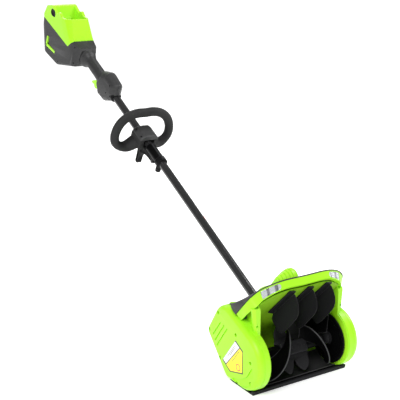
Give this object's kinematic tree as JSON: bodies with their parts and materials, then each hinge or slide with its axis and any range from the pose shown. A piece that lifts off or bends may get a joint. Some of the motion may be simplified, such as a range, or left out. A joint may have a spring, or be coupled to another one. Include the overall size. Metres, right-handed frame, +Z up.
{
  "type": "cordless snow shovel",
  "caption": "Long-shafted cordless snow shovel with a hooded rotating auger head, loop handle, trigger handle and empty battery bay.",
  "frame": {"origin": "middle of the head's width, on the flat sole that slides on the ground, just behind the scraping edge", "axes": "+Z up with the sole flat on the ground, the head works towards -Y, the shaft rises towards +Y, +X to the right seen from behind the front"},
  "size_m": [0.34, 1.6695, 0.924],
  "materials": {
    "lime_plastic": "satin moulded plastic",
    "dark_grey_plastic": "fine grained moulded plastic",
    "black_plastic": "satin moulded plastic",
    "black_rubber": "matt rubber",
    "grip_rubber": "matt foam-like grip",
    "painted_tube": "satin powder coat",
    "steel": "turned steel",
    "motor_steel": "dark plated steel",
    "clear_lens": "clear ribbed lens",
    "light_board": "white light board",
    "circuit_board": "green circuit board",
    "cable_jacket": "black cable jacket"
  },
  "bodies": {
    "frame": {"hood_shell": "lime_plastic", "front_frame": "lime_plastic", "top_cover": "dark_grey_plastic", "rear_housing": "lime_plastic", "motor_cover": "lime_plastic", "left_side_plate": "lime_plastic", "right_side_plate": "lime_plastic", "belt_cover": "lime_plastic", "right_side_cover": "lime_plastic", "sole_plate": "black_plastic", "scoop_floor": "dark_grey_plastic", "light_lens_left": "clear_lens", "light_lens_right": "clear_lens", "light_board_left": "light_board", "light_board_right": "light_board", "vane_left": "black_plastic", "vane_middle": "black_plastic", "vane_right": "black_plastic", "motor_can": "motor_steel", "motor_bearing": "steel", "drive_belt": "black_rubber", "auger_bearing_left": "steel", "auger_bearing_right": "steel", "shaft_socket": "black_plastic", "lower_shaft": "painted_tube", "upper_shaft": "painted_tube", "coupler_sleeve": "black_plastic", "lever_pin": "steel", "handle_left": "dark_grey_plastic", "handle_right": "dark_grey_plastic", "trigger_switch": "black_plastic", "trigger_spring": "steel", "battery_bay": "lime_plastic", "battery_housing_left": "dark_grey_plastic", "battery_housing_right": "dark_grey_plastic", "vent_liner": "lime_plastic", "terminal_block": "black_plastic", "control_board": "circuit_board", "power_cable": "cable_jacket"},
    "auger": {"auger_shaft": "steel", "auger_pulley": "black_plastic", "auger_hub": "black_plastic", "auger_disc_left": "black_plastic", "auger_disc_right": "black_plastic", "auger_flight_left_1": "black_rubber", "auger_flight_left_2": "black_rubber", "auger_flight_right_1": "black_rubber", "auger_flight_right_2": "black_rubber", "auger_paddle_1": "black_rubber", "auger_paddle_2": "black_rubber"},
    "motor_turning": {"motor_rotor": "steel", "motor_pulley": "black_plastic"},
    "lever": {"coupler_lever": "black_plastic"},
    "knob": {"coupler_knob": "black_plastic"},
    "loop": {"loop_handle": "grip_rubber", "clamp_cover": "dark_grey_plastic"},
    "trigger_piece": {"trigger": "lime_plastic"},
    "lock_off": {"lock_off_button": "black_plastic"},
    "release": {"battery_release_button": "black_plastic"}
  },
  "joints": [
    {"name": "auger_spin", "type": "hinge", "parent": "frame", "child": "auger", "pos_m": [0, 0.037, 0.086], "axis": [1, 0, 0], "continuous": true},
    {"name": "motor_spin", "type": "hinge", "parent": "frame", "child": "motor_turning", "pos_m": [0, 0.128, 0.193], "axis": [1, 0, 0], "continuous": true},
    {"name": "lever_open", "type": "hinge", "parent": "frame", "child": "lever", "pos_m": [0, 0.8048, 0.45936], "axis": [-1, 0, 0], "range_deg": [0, 50]},
    {"name": "knob_turn", "type": "hinge", "parent": "frame", "child": "knob", "pos_m": [0, 0.77789, 0.4376], "axis": [0, -0.4715, 0.8819], "continuous": true},
    {"name": "loop_slide", "type": "slide", "parent": "frame", "child": "loop", "axis": [0, 0.8819, 0.4715], "range_m": [0, 0.12]},
    {"name": "trigger_pull", "type": "hinge", "parent": "frame", "child": "trigger_piece", "pos_m": [0, 1.19625, 0.66466], "axis": [1, 0, 0], "range_deg": [0, 12], "stiffness_Nm_per_rad": 0.3, "springref_deg": -2.86},
    {"name": "lock_off_push", "type": "slide", "parent": "frame", "child": "lock_off", "axis": [-1, 0, 0], "range_m": [0, 0.004], "stiffness_N_per_m": 400, "springref_m": -0.001},
    {"name": "release_push", "type": "slide", "parent": "frame", "child": "release", "axis": [1, 0, 0], "range_m": [0, 0.0035], "stiffness_N_per_m": 400, "springref_m": -0.001}
  ],
  "couplings": [
    {"joint": "motor_spin", "follows": "auger_spin", "ratio": 3.2}
  ]
}
